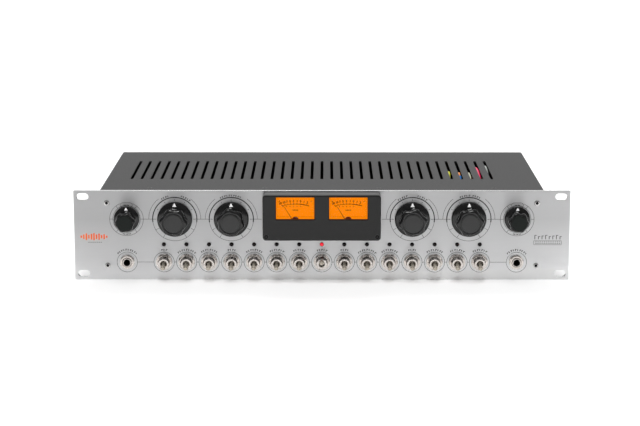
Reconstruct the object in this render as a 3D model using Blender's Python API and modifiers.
"""Two-channel valve microphone preamp, 19-inch rack mount, two units high.

The design is laid out in millimetres in the panel frame: X to the right as seen from the front,
Y to the rear from the panel's front face, Z up from the panel's bottom edge. Every object is
placed in metres, shifted along Y so that the whole unit is centred on the origin.
"""
import math

import bmesh
import bpy
from mathutils import Matrix, Vector

MM = 0.001
GAP = 0.3

# Overall size
PANEL_WIDTH = 482.6
PANEL_HEIGHT = 88.1
PANEL_THICK = 4.0
CASE_WIDTH = 435.0
CASE_TOP = 86.6
CASE_DEPTH = 240.0
COVER_THICK = 1.2
COVER_BEND = 1.5
COVER_BOTTOM = 2.0
TRAY_THICK = 1.5
REAR_THICK = 2.0
FLANGE_THICK = 2.0
KNOB_REACH = 22.3
LATCH_REACH = 1.5

FRONT_END = -KNOB_REACH
REAR_END = CASE_DEPTH + GAP + FLANGE_THICK + LATCH_REACH
Y_SHIFT = -(FRONT_END + REAR_END) / 2

# Front layout
RACK_SLOT_X = 232.55
RACK_SLOT_Z = (5.95, 82.15)
RACK_SLOT_LENGTH = 11.5
RACK_SLOT_HEIGHT = 6.5
SWITCH_COUNT = 15
SWITCH_PITCH = 22.0
SWITCH_Z = 17.3
LED_Z = 35.0
LED_RADIUS = 1.95
BIG_KNOB_X = (-143.0, -88.0, 88.0, 143.0)
SMALL_KNOB_X = (-190.0, 190.0)
SMALL_KNOB_SIZE = 0.734
KNOB_Z = 60.0
JACK_X = (-190.0, 190.0)
JACK_RADIUS = 4.75
JACK_BORE = 3.25
JACK_REACH = 3.5
JACK_BODY = 16.0

# Toggle switches
BUSHING_RADIUS = 5.85
BUSHING_REACH = 9.3
BUSHING_BORE = 3.1
BORE_FLOOR = 0.0
LEVER_PIVOT = 5.0
LEVER_BALL = 2.7
LEVER_TILT = math.radians(13.5)
SWITCH_BODY = 13.0

# Knobs: shaft, skirt and grip
SHAFT_RADIUS = 3.0
SHAFT_CLEAR = 0.35
SHAFT_END = 14.0
HUB_RADIUS = 6.0
SKIRT_RADIUS = 17.0
SKIRT_TOP = 5.5
GRIP_RADIUS = 14.0
CAP_RADIUS = 9.5
LOBES = 6

# Circuit boards behind the panel
BOARD_FRONT = 24.0
BOARD_THICK = 1.6
POT_RADIUS = 9.0

# Meter block
BEZEL_HALF_WIDTH = 57.0
BEZEL_BOTTOM = 42.7
BEZEL_TOP = 87.4
BEZEL_REACH = 20.3
BEZEL_FRONT_WALL = 3.0
BEZEL_SIDE_WALL = 2.2
BEZEL_TOP_WALL = 1.4
WINDOW_X = 25.6
WINDOW_HALF_WIDTH = 18.4
WINDOW_BOTTOM = 63.7
WINDOW_TOP = 85.1
LENS_THICK = 1.5
METER_HALF_WIDTH = 24.0
METER_BOTTOM = 51.5
METER_TOP = 85.7
METER_REAR = PANEL_THICK
MOVEMENT_RADIUS = 14.0
MOVEMENT_Z = 69.0
MOVEMENT_REAR = 18.0
DIAL_DEPTH = 6.0
DIAL_BOTTOM = 53.5
NEEDLE_PIVOT_Z = 57.0
NEEDLE_LENGTH = 20.8
NEEDLE_REST = math.radians(31)

# Vent slots in the cover
VENT_COUNT = 37
VENT_PITCH = 10.08
VENT_FIRST_X = -191.6
VENT_WIDTH = 3.0
VENT_FRONT = 73.4
VENT_REAR = 180.5

# Rear connectors
CONNECTOR_Z = 45.0
XLR_INPUT_X = (-185.0, -95.0)
XLR_OUTPUT_X = (-145.0, -55.0)
XLR_BARREL = 11.6
INLET_X = 172.0

# Electronics on the tray
MAIN_BOARD_Z = 9.8
TUBE_X = (-170.0, -120.0, -70.0, -20.0)
TUBE_Y = 100.0
TRANSFORMER_Y = 165.0

ALUMINIUM = ("aluminium", (0.62, 0.63, 0.64), 0.38, 1.0)
STEEL_GREY = ("case_steel", (0.13, 0.13, 0.135), 0.6, 0.2)
BLACK_PLASTIC = ("black_plastic", (0.012, 0.012, 0.013), 0.25, 0.0)
BEZEL_PLASTIC = ("bezel_plastic", (0.03, 0.03, 0.032), 0.35, 0.0)
NICKEL = ("nickel", (0.66, 0.64, 0.6), 0.2, 1.0)
CLEAR = ("clear_lens", (0.9, 0.9, 0.9), 0.05, 0.0)
DIAL_ORANGE = ("dial_orange", (0.9, 0.3, 0.02), 0.5, 0.0)
BOARD_GREEN = ("board_green", (0.03, 0.16, 0.07), 0.5, 0.0)
TUBE_GLASS = ("tube_glass", (0.75, 0.78, 0.8), 0.05, 0.0)
TAPE_YELLOW = ("tape_yellow", (0.6, 0.45, 0.08), 0.5, 0.0)
CAN_STEEL = ("can_steel", (0.5, 0.5, 0.52), 0.3, 1.0)
CAPACITOR_RED = ("capacitor_red", (0.6, 0.04, 0.06), 0.4, 0.0)
INK_BLACK = ("needle_black", (0.02, 0.02, 0.02), 0.5, 0.0)


def clear_scene():
    """Remove every object that the file opens with."""
    for obj in list(bpy.data.objects):
        bpy.data.objects.remove(obj)


def make_collection(name):
    """Return a new collection linked to the scene."""
    collection = bpy.data.collections.new(name)
    bpy.context.scene.collection.children.link(collection)
    return collection


def material(spec):
    """Return the Principled material that a spec describes, making it once."""
    name, colour, roughness, metallic = spec
    found = bpy.data.materials.get(name)
    if found:
        return found
    made = bpy.data.materials.new(name)
    made.use_nodes = True
    shader = made.node_tree.nodes["Principled BSDF"]
    shader.inputs["Base Color"].default_value = (*colour, 1.0)
    shader.inputs["Roughness"].default_value = roughness
    shader.inputs["Metallic"].default_value = metallic
    made.diffuse_color = (*colour, 1.0)
    return made


def place(x, y, z):
    """Turn a panel-frame point in millimetres into a world point in metres."""
    return Vector((x * MM, (y + Y_SHIFT) * MM, z * MM))


def add_object(name, mesh, spec, collection, location=(0, 0, 0)):
    """Link a mesh as an object, in a part's or a cutter's collection."""
    obj = bpy.data.objects.new(name, mesh)
    obj.location = location
    collection.objects.link(obj)
    if spec:
        mesh.materials.append(material(spec))
    if collection is CUTTERS:
        obj.hide_render = True
        obj.display_type = "WIRE"
    return obj


def add_box(bm, x_range, y_range, z_range):
    """Add a box between panel-frame limits and return its vertices."""
    low = place(x_range[0], y_range[0], z_range[0])
    high = place(x_range[1], y_range[1], z_range[1])
    size = high - low
    matrix = Matrix.Translation((low + high) / 2) @ Matrix.Diagonal((*size, 1.0))
    return bmesh.ops.create_cube(bm, size=1.0, matrix=matrix)["verts"]


def add_rod(bm, radius, x, z, y_range, segments):
    """Add a cylinder along Y, its flats lined up with the axes."""
    length = (y_range[1] - y_range[0]) * MM
    centre = place(x, sum(y_range) / 2, z)
    turn = Matrix.Rotation(math.pi / 2, 4, "X") @ Matrix.Rotation(math.pi / segments, 4, "Z")
    made = bmesh.ops.create_cone(
        bm, cap_ends=True, segments=segments, radius1=radius * MM, radius2=radius * MM,
        depth=length, matrix=Matrix.Translation(centre) @ turn)
    return made["verts"]


def add_post(bm, radius, x, y, z_range, segments):
    """Add an upright cylinder."""
    length = (z_range[1] - z_range[0]) * MM
    centre = place(x, y, sum(z_range) / 2)
    made = bmesh.ops.create_cone(
        bm, cap_ends=True, segments=segments, radius1=radius * MM, radius2=radius * MM,
        depth=length, matrix=Matrix.Translation(centre))
    return made["verts"]


def stretch(verts, axis, middle, amount):
    """Pull a round rod apart along one axis, which turns it into a round-ended slot."""
    for vert in verts:
        side = 1.0 if vert.co[axis] > middle else -1.0
        vert.co[axis] += side * amount / 2 * MM


def mesh_from(name, fill):
    """Build a mesh by passing a bmesh to a function."""
    bm = bmesh.new()
    fill(bm)
    bmesh.ops.recalc_face_normals(bm, faces=bm.faces)
    mesh = bpy.data.meshes.new(name)
    bm.to_mesh(mesh)
    bm.free()
    return mesh


def solid(name, spec, fill, centre=None):
    """Make a named part from a filling function, with its origin at a chosen world point."""
    mesh = mesh_from(name, fill)
    location = centre or (0, 0, 0)
    mesh.transform(Matrix.Translation(-Vector(location)))
    return add_object(name, mesh, spec, PARTS, location)


def combine(obj, operation, fill):
    """Join a shape to a part or cut it out of the part."""
    cutter_name = f"{obj.name}_{operation.lower()}_{len(obj.modifiers)}"
    cutter = add_object(cutter_name, mesh_from(cutter_name, fill), None, CUTTERS)
    modifier = obj.modifiers.new(operation.title(), "BOOLEAN")
    modifier.operation = operation
    modifier.solver = "EXACT"
    modifier.object = cutter
    return obj


def cut(obj, fill):
    return combine(obj, "DIFFERENCE", fill)


def join(obj, fill):
    return combine(obj, "UNION", fill)


def turned(name, spec, profile, steps, location, rotation=(0, 0, 0), closed=False):
    """Turn a profile of (radius, height) points about the object's own Z axis."""
    mesh = bpy.data.meshes.new(name)
    points = [(radius * MM, 0.0, height * MM) for radius, height in profile]
    edges = [(i, i + 1) for i in range(len(points) - 1)]
    if closed:
        edges.append((len(points) - 1, 0))
    mesh.from_pydata(points, edges, [])
    obj = add_object(name, mesh, spec, PARTS, location)
    obj.rotation_euler = rotation
    screw = obj.modifiers.new("Turn", "SCREW")
    screw.axis = "Z"
    screw.angle = math.tau
    screw.steps = steps
    screw.render_steps = steps
    screw.use_merge_vertices = True
    screw.merge_threshold = 0.00001
    screw.use_smooth_shade = True
    return obj


def switch_positions():
    """X of each toggle switch and LED, left to right."""
    middle = (SWITCH_COUNT - 1) / 2
    return [(index - middle) * SWITCH_PITCH for index in range(SWITCH_COUNT)]


def vent_positions():
    return [VENT_FIRST_X + index * VENT_PITCH for index in range(VENT_COUNT)]


def knob_list():
    """Each knob's number, X position and size factor, left to right."""
    places = [(x, 1.0) for x in BIG_KNOB_X] + [(x, SMALL_KNOB_SIZE) for x in SMALL_KNOB_X]
    return [(index + 1, x, factor) for index, (x, factor) in enumerate(sorted(places))]


def front_panel():
    def plate(bm):
        add_box(bm, (-PANEL_WIDTH / 2, PANEL_WIDTH / 2), (0, PANEL_THICK), (0, PANEL_HEIGHT))

    def openings(bm):
        through = (-1.0, PANEL_THICK + 1.0)
        for side in (-RACK_SLOT_X, RACK_SLOT_X):
            for height in RACK_SLOT_Z:
                radius = RACK_SLOT_HEIGHT / 2
                verts = add_rod(bm, radius, side, height, through, 16)
                stretch(verts, 0, side * MM, RACK_SLOT_LENGTH - RACK_SLOT_HEIGHT)
        for x in switch_positions():
            add_rod(bm, BUSHING_RADIUS + GAP, x, SWITCH_Z, through, 16)
            add_rod(bm, LED_RADIUS, x, LED_Z, through, 10)
        for _, x, _ in knob_list():
            add_rod(bm, SHAFT_RADIUS + 1.0, x, KNOB_Z, through, 14)
        for x in JACK_X:
            add_rod(bm, JACK_RADIUS + GAP, x, SWITCH_Z, through, 16)
        opening_half = WINDOW_X + METER_HALF_WIDTH + GAP
        add_box(bm, (-opening_half, opening_half), through, (METER_BOTTOM - GAP, METER_TOP + GAP))

    return cut(solid("front_panel", ALUMINIUM, plate), openings)


def chassis_tray():
    half = CASE_WIDTH / 2 - COVER_THICK - GAP
    inner = half - TRAY_THICK
    y_range = (PANEL_THICK + GAP, CASE_DEPTH)
    top = CASE_TOP - COVER_THICK - GAP

    def block(bm):
        add_box(bm, (-half, half), y_range, (0, top))

    def hollow(bm):
        add_box(bm, (-inner, inner), (0, CASE_DEPTH + 10), (TRAY_THICK, top + 10))

    return cut(solid("chassis_tray", STEEL_GREY, block), hollow)


def top_cover():
    half = CASE_WIDTH / 2
    y_range = (PANEL_THICK + GAP, CASE_DEPTH)

    def block(bm):
        verts = add_box(bm, (-half, half), y_range, (COVER_BOTTOM, CASE_TOP))
        edges = {edge for vert in verts for edge in vert.link_edges}
        middle = CASE_TOP / 2 * MM
        bends = [edge for edge in edges if all(vert.co.z > middle for vert in edge.verts)
                 and abs(edge.verts[0].co.x - edge.verts[1].co.x) < 1e-6]
        bmesh.ops.bevel(bm, geom=bends, offset=COVER_BEND * MM, segments=2, affect="EDGES",
                        profile=0.5)

    def hollow(bm):
        inner = half - COVER_THICK
        add_box(bm, (-inner, inner), (0, CASE_DEPTH + 10), (0, CASE_TOP - COVER_THICK))

    def vents(bm):
        middle = (VENT_FRONT + VENT_REAR) / 2
        centre = place(0, middle, 0).y
        for x in vent_positions():
            verts = add_post(bm, VENT_WIDTH / 2, x, middle, (CASE_TOP - 5, CASE_TOP + 5), 10)
            stretch(verts, 1, centre, VENT_REAR - VENT_FRONT - VENT_WIDTH)

    return cut(cut(solid("top_cover", STEEL_GREY, block), hollow), vents)


def rear_panel():
    half = CASE_WIDTH / 2 - COVER_THICK - 2 * GAP - TRAY_THICK

    def plate(bm):
        z_range = (TRAY_THICK + GAP, CASE_TOP - COVER_THICK - GAP)
        add_box(bm, (-half, half), (CASE_DEPTH - REAR_THICK, CASE_DEPTH), z_range)

    def openings(bm):
        through = (CASE_DEPTH - 10, CASE_DEPTH + 10)
        for x in XLR_INPUT_X + XLR_OUTPUT_X:
            add_rod(bm, XLR_BARREL + 0.6, x, CONNECTOR_Z, through, 20)
        add_box(bm, (INLET_X - 14.2, INLET_X + 14.2), through, (CONNECTOR_Z - 10.4, CONNECTOR_Z + 10.4))

    return cut(solid("rear_panel", STEEL_GREY, plate), openings)


def meter_bezel():
    def block(bm):
        verts = add_box(bm, (-BEZEL_HALF_WIDTH, BEZEL_HALF_WIDTH), (-BEZEL_REACH, -GAP),
                        (BEZEL_BOTTOM, BEZEL_TOP))
        edges = {edge for vert in verts for edge in vert.link_edges}
        along_y = [e for e in edges if abs(e.verts[0].co.y - e.verts[1].co.y) > 1e-6]
        bmesh.ops.bevel(bm, geom=along_y, offset=3.0 * MM, segments=3, affect="EDGES", profile=0.5)

    def hollow(bm):
        half = BEZEL_HALF_WIDTH - BEZEL_SIDE_WALL
        z_range = (BEZEL_BOTTOM + BEZEL_SIDE_WALL, BEZEL_TOP - BEZEL_TOP_WALL)
        add_box(bm, (-half, half), (-BEZEL_REACH + BEZEL_FRONT_WALL, 5), z_range)

    def windows(bm):
        for x in (-WINDOW_X, WINDOW_X):
            add_box(bm, (x - WINDOW_HALF_WIDTH, x + WINDOW_HALF_WIDTH), (-BEZEL_REACH - 5, -10),
                    (WINDOW_BOTTOM, WINDOW_TOP))

    return cut(cut(solid("meter_bezel", BEZEL_PLASTIC, block), hollow), windows)


def meter(side, x):
    """Lens, dial case and needle of one level meter."""
    lens_front = -BEZEL_REACH + BEZEL_FRONT_WALL + GAP
    lens_rear = lens_front + LENS_THICK
    case_front = lens_rear + GAP
    dial = case_front + DIAL_DEPTH

    def lens(bm):
        add_box(bm, (x - 20, x + 20), (lens_front, lens_rear), (WINDOW_BOTTOM - 1.1, METER_TOP))

    def case(bm):
        add_box(bm, (x - METER_HALF_WIDTH, x + METER_HALF_WIDTH), (case_front, METER_REAR),
                (METER_BOTTOM, METER_TOP))

    def recess(bm):
        add_box(bm, (x - 21.5, x + 21.5), (case_front - 5, dial),
                (DIAL_BOTTOM, METER_TOP - 0.5))

    def movement(bm):
        add_rod(bm, MOVEMENT_RADIUS, x, MOVEMENT_Z, (METER_REAR - 1, MOVEMENT_REAR), 20)

    solid(f"meter_lens_{side}", CLEAR, lens)
    join(cut(solid(f"meter_case_{side}", DIAL_ORANGE, case), recess), movement)

    pivot = place(x, dial - 2.6, NEEDLE_PIVOT_Z)

    def hub(bm):
        add_rod(bm, 1.8, x, NEEDLE_PIVOT_Z, (dial - 3.4, dial - 1.4), 12)

    def pointer(bm):
        verts = add_box(bm, (x - 0.25, x + 0.25), (dial - 2.8, dial - 2.4),
                        (NEEDLE_PIVOT_Z - 1.0, NEEDLE_PIVOT_Z + NEEDLE_LENGTH))
        bmesh.ops.rotate(bm, verts=verts, cent=pivot, matrix=Matrix.Rotation(-NEEDLE_REST, 3, "Y"))

    join(solid(f"vu_needle_{side}", INK_BLACK, hub, pivot), pointer)


def switch_board():
    """Board that carries the toggle switch bodies and their threaded bushings."""
    half = SWITCH_BODY / 2

    def board(bm):
        add_box(bm, (-166, 166), (BOARD_FRONT, BOARD_FRONT + BOARD_THICK), (6, 42))

    def bodies(bm):
        for x in switch_positions():
            add_box(bm, (x - half, x + half), (PANEL_THICK + 2 * GAP, BOARD_FRONT + 0.5),
                    (SWITCH_Z - half, SWITCH_Z + half))

    def bushings(bm):
        for x in switch_positions():
            add_rod(bm, BUSHING_RADIUS, x, SWITCH_Z, (-BUSHING_REACH, PANEL_THICK + 2), 16)

    def bores(bm):
        for x in switch_positions():
            add_rod(bm, BUSHING_BORE, x, SWITCH_Z, (-BUSHING_REACH - 5, BORE_FLOOR), 14)

    obj = join(join(solid("switch_board", NICKEL, board), bodies), bushings)
    return cut(obj, bores)


def toggle_levers():
    """Bat levers, each turned about its own axis with its origin on the hinge."""
    profile = [(0.0, 13.6), (1.3, 13.3), (2.15, 12.2), (2.35, 11.0), (1.95, 7.2), (1.6, 2.6),
               (2.3, 1.4), (LEVER_BALL, 0.0), (2.2, -1.6), (1.1, -2.6), (1.1, -4.2), (0.0, -4.2)]
    centre_index = SWITCH_COUNT // 2
    for index, x in enumerate(switch_positions()):
        tilt = -LEVER_TILT if index == centre_index else LEVER_TILT
        turned(f"toggle_lever_{index + 1:02d}", NICKEL, profile, 10,
               place(x, -LEVER_PIVOT, SWITCH_Z), (math.pi / 2 + tilt, 0, 0))


def control_board():
    """Board that carries the potentiometers behind the knobs."""
    def board(bm):
        add_box(bm, (-205, 205), (BOARD_FRONT, BOARD_FRONT + BOARD_THICK), (46, 80))

    def pots(bm):
        for _, x, _ in knob_list():
            add_rod(bm, POT_RADIUS, x, KNOB_Z, (PANEL_THICK + 2 * GAP, BOARD_FRONT + 0.5), 18)

    def bores(bm):
        for _, x, _ in knob_list():
            add_rod(bm, SHAFT_RADIUS + SHAFT_CLEAR, x, KNOB_Z, (0, SHAFT_END + 2), 14)

    return cut(join(solid("control_board", BOARD_GREEN, board), pots), bores)


def knob_skirt(number, x, factor):
    outer = SKIRT_RADIUS * factor
    shoulder = outer - 2.1 * factor
    hub = HUB_RADIUS + 0.4
    profile = [(hub, SKIRT_TOP), (shoulder, SKIRT_TOP), (outer - 0.6, 2.6), (outer, 1.8),
               (outer, 1.0), (hub, 1.0)]
    return turned(f"knob_skirt_{number}", BLACK_PLASTIC, profile, 28,
                  place(x, 0, KNOB_Z), (math.pi / 2, 0, 0), closed=True)


def knob_grip(number, x, factor):
    """Fluted grip, cap and shaft as one body: rings of points joined from the shaft end forward."""
    segments = LOBES * 4
    grip = GRIP_RADIUS * factor
    cap = CAP_RADIUS * factor
    rings = [(SHAFT_RADIUS, -SHAFT_END, 0), (SHAFT_RADIUS, 0.6, 0), (HUB_RADIUS, 0.6, 0),
             (HUB_RADIUS, SKIRT_TOP + GAP, 0), (grip, SKIRT_TOP + GAP, 0.06),
             (grip * 0.97, 19.6, 0.06), (grip * 0.88, KNOB_REACH - 0.9, 0.04),
             (cap, KNOB_REACH, 0)]

    def fill(bm):
        loop = bmesh.ops.create_circle(bm, cap_ends=True, segments=segments, radius=1.0)["verts"]
        edges = list({edge for vert in loop for edge in vert.link_edges})
        shape_ring(loop, rings[0])
        for ring in rings[1:]:
            made = bmesh.ops.extrude_edge_only(bm, edges=edges)["geom"]
            verts = [item for item in made if isinstance(item, bmesh.types.BMVert)]
            edges = [item for item in made if isinstance(item, bmesh.types.BMEdge)]
            shape_ring(verts, ring)
        bmesh.ops.contextual_create(bm, geom=edges)

    obj = add_object(f"knob_grip_{number}", mesh_from(f"knob_grip_{number}", fill), BLACK_PLASTIC,
                     PARTS, place(x, 0, KNOB_Z))
    obj.rotation_euler = (math.pi / 2, 0, 0)
    obj.data.shade_smooth()
    return obj


def shape_ring(verts, ring):
    """Move a loop of vertices onto a lobed ring of given radius, height and lobe depth."""
    radius, height, depth = ring
    for vert in verts:
        angle = math.atan2(vert.co.y, vert.co.x)
        reach = radius * (1 + depth * (math.cos(LOBES * angle) - 1) / 2)
        vert.co = Vector((reach * math.cos(angle), reach * math.sin(angle), height)) * MM


def instrument_jacks():
    for index, x in enumerate(JACK_X):
        def body(bm, x=x):
            half = JACK_BODY / 2
            add_box(bm, (x - half, x + half), (PANEL_THICK + 2 * GAP, 34),
                    (SWITCH_Z - half, SWITCH_Z + half))

        def bushing(bm, x=x):
            add_rod(bm, JACK_RADIUS, x, SWITCH_Z, (-JACK_REACH, PANEL_THICK + 3), 16)

        def bore(bm, x=x):
            add_rod(bm, JACK_BORE, x, SWITCH_Z, (-10, 30), 14)

        cut(join(solid(f"instrument_jack_{index + 1}", BLACK_PLASTIC, body), bushing), bore)


def xlr_shell(name, x, spec, barrel_front):
    """Square flange with a round barrel behind it."""
    face = CASE_DEPTH + GAP

    def flange(bm):
        add_box(bm, (x - 13, x + 13), (face, face + FLANGE_THICK),
                (CONNECTOR_Z - 15.5, CONNECTOR_Z + 15.5))

    def barrel(bm):
        add_rod(bm, XLR_BARREL, x, CONNECTOR_Z, (barrel_front, face + 0.6), 20)

    return join(solid(name, spec, flange), barrel)


def xlr_input(number, x):
    """Female connector: three contact holes and a pocket for the push-to-release tab."""
    outside = CASE_DEPTH + GAP + FLANGE_THICK

    def recesses(bm):
        for dx, dz in ((-3.8, 0.5), (3.8, 0.5), (0.0, -4.6)):
            add_rod(bm, 1.4, x + dx, CONNECTOR_Z + dz, (outside - 14, outside + 5), 10)
        add_box(bm, (x - 4.3, x + 4.3), (outside - 6.0, outside + 5),
                (CONNECTOR_Z + 4.9, CONNECTOR_Z + 10.6))

    cut(xlr_shell(f"xlr_input_{number}", x, BLACK_PLASTIC, 214), recesses)

    def tab(bm):
        add_box(bm, (x - 4, x + 4), (outside - 3.6, outside + LATCH_REACH),
                (CONNECTOR_Z + 5.2, CONNECTOR_Z + 10.3))

    solid(f"xlr_latch_{number}", NICKEL, tab, place(x, outside, CONNECTOR_Z + 7.75))


def xlr_output(number, x):
    """Male connector: a cup with three pins."""
    outside = CASE_DEPTH + GAP + FLANGE_THICK

    def cup(bm):
        add_rod(bm, 9.6, x, CONNECTOR_Z, (outside - 14, outside + 5), 20)

    def pins(bm):
        for dx, dz in ((-4.0, 0.5), (4.0, 0.5), (0.0, -4.6)):
            add_rod(bm, 1.2, x + dx, CONNECTOR_Z + dz, (outside - 15, outside - 2), 8)

    join(cut(xlr_shell(f"xlr_output_{number}", x, BLACK_PLASTIC, 216), cup), pins)


def power_inlet():
    outside = CASE_DEPTH + GAP + FLANGE_THICK

    def flange(bm):
        add_box(bm, (INLET_X - 25, INLET_X + 25), (CASE_DEPTH + GAP, outside),
                (CONNECTOR_Z - 11.5, CONNECTOR_Z + 11.5))

    def body(bm):
        add_box(bm, (INLET_X - 13.8, INLET_X + 13.8), (214, CASE_DEPTH + GAP + 0.6),
                (CONNECTOR_Z - 10, CONNECTOR_Z + 10))

    def recess(bm):
        add_box(bm, (INLET_X - 12, INLET_X + 12), (outside - 16, outside + 5),
                (CONNECTOR_Z - 8.3, CONNECTOR_Z + 8.3))

    def blades(bm):
        for dx, dz in ((-7.0, -0.5), (0.0, 2.5), (7.0, -0.5)):
            add_box(bm, (INLET_X + dx - 1, INLET_X + dx + 1), (outside - 17, outside - 3),
                    (CONNECTOR_Z + dz - 2, CONNECTOR_Z + dz + 2))

    shell = join(solid("power_inlet", BLACK_PLASTIC, flange), body)
    join(cut(shell, recess), blades)


def main_board():
    """Main circuit board on posts, with the four valve bases joined to it."""
    top = MAIN_BOARD_Z + BOARD_THICK

    def board(bm):
        add_box(bm, (-205, 75), (45, 205), (MAIN_BOARD_Z, top))

    def posts(bm):
        for x in (-198, -65, 68):
            for y in (52, 198):
                add_post(bm, 3.0, x, y, (TRAY_THICK + GAP, MAIN_BOARD_Z + 0.5), 8)

    def bases(bm):
        for x in TUBE_X:
            add_post(bm, 11.0, x, TUBE_Y, (top - 0.5, top + 9), 16)

    return join(join(solid("main_board", BOARD_GREEN, board), posts), bases)


def board_parts():
    """Valves and signal transformers that stand on the main board."""
    seat = MAIN_BOARD_Z + BOARD_THICK + GAP
    tube_seat = seat + 9
    tube_profile = [(0.0, 52.0), (1.6, 51.2), (2.4, 48.0), (7.0, 46.4), (9.6, 43.6), (10.3, 40.0),
                    (10.3, 1.0), (9.4, 0.0), (0.0, 0.0)]
    for index, x in enumerate(TUBE_X):
        turned(f"tube_{index + 1}", TUBE_GLASS, tube_profile, 16, place(x, TUBE_Y, tube_seat))
    can_profile = [(0.0, 38.0), (11.0, 38.0), (12.0, 37.0), (12.0, 0.0), (0.0, 0.0)]
    for index, x in enumerate(XLR_INPUT_X):
        turned(f"input_transformer_{index + 1}", CAN_STEEL, can_profile, 20,
               place(x, TRANSFORMER_Y, seat))
    for index, x in enumerate(XLR_OUTPUT_X):
        def core(bm, x=x):
            add_box(bm, (x - 19, x + 19), (TRANSFORMER_Y - 9, TRANSFORMER_Y + 9), (seat, seat + 32))

        def winding(bm, x=x):
            add_box(bm, (x - 11, x + 11), (TRANSFORMER_Y - 16, TRANSFORMER_Y + 16),
                    (seat + 5, seat + 27))

        join(solid(f"output_transformer_{index + 1}", CAN_STEEL, core), winding)


def power_parts():
    """Mains transformer and reservoir capacitor on the tray."""
    seat = TRAY_THICK + GAP
    ring = [(9.0, 38.0), (32.0, 38.0), (38.0, 33.0), (39.0, 19.0), (38.0, 5.0), (32.0, 0.0),
            (9.0, 0.0), (7.0, 6.0), (7.0, 32.0)]
    turned("power_transformer", TAPE_YELLOW, ring, 28, place(136, 168, seat), closed=True)
    can = [(0.0, 58.0), (11.5, 58.0), (12.5, 57.0), (12.5, 0.0), (0.0, 0.0)]
    turned("filter_capacitor", CAPACITOR_RED, can, 20, place(160, 96, seat))


clear_scene()
PARTS = make_collection("valve_preamp")
CUTTERS = make_collection("cutters")

front_panel()
chassis_tray()
top_cover()
rear_panel()
meter_bezel()
meter("left", -WINDOW_X)
meter("right", WINDOW_X)
switch_board()
toggle_levers()
control_board()
for knob_number, knob_x, knob_factor in knob_list():
    knob_skirt(knob_number, knob_x, knob_factor)
    knob_grip(knob_number, knob_x, knob_factor)
instrument_jacks()
for order in range(2):
    xlr_input(order + 1, XLR_INPUT_X[order])
    xlr_output(order + 1, XLR_OUTPUT_X[order])
power_inlet()
main_board()
board_parts()
power_parts()
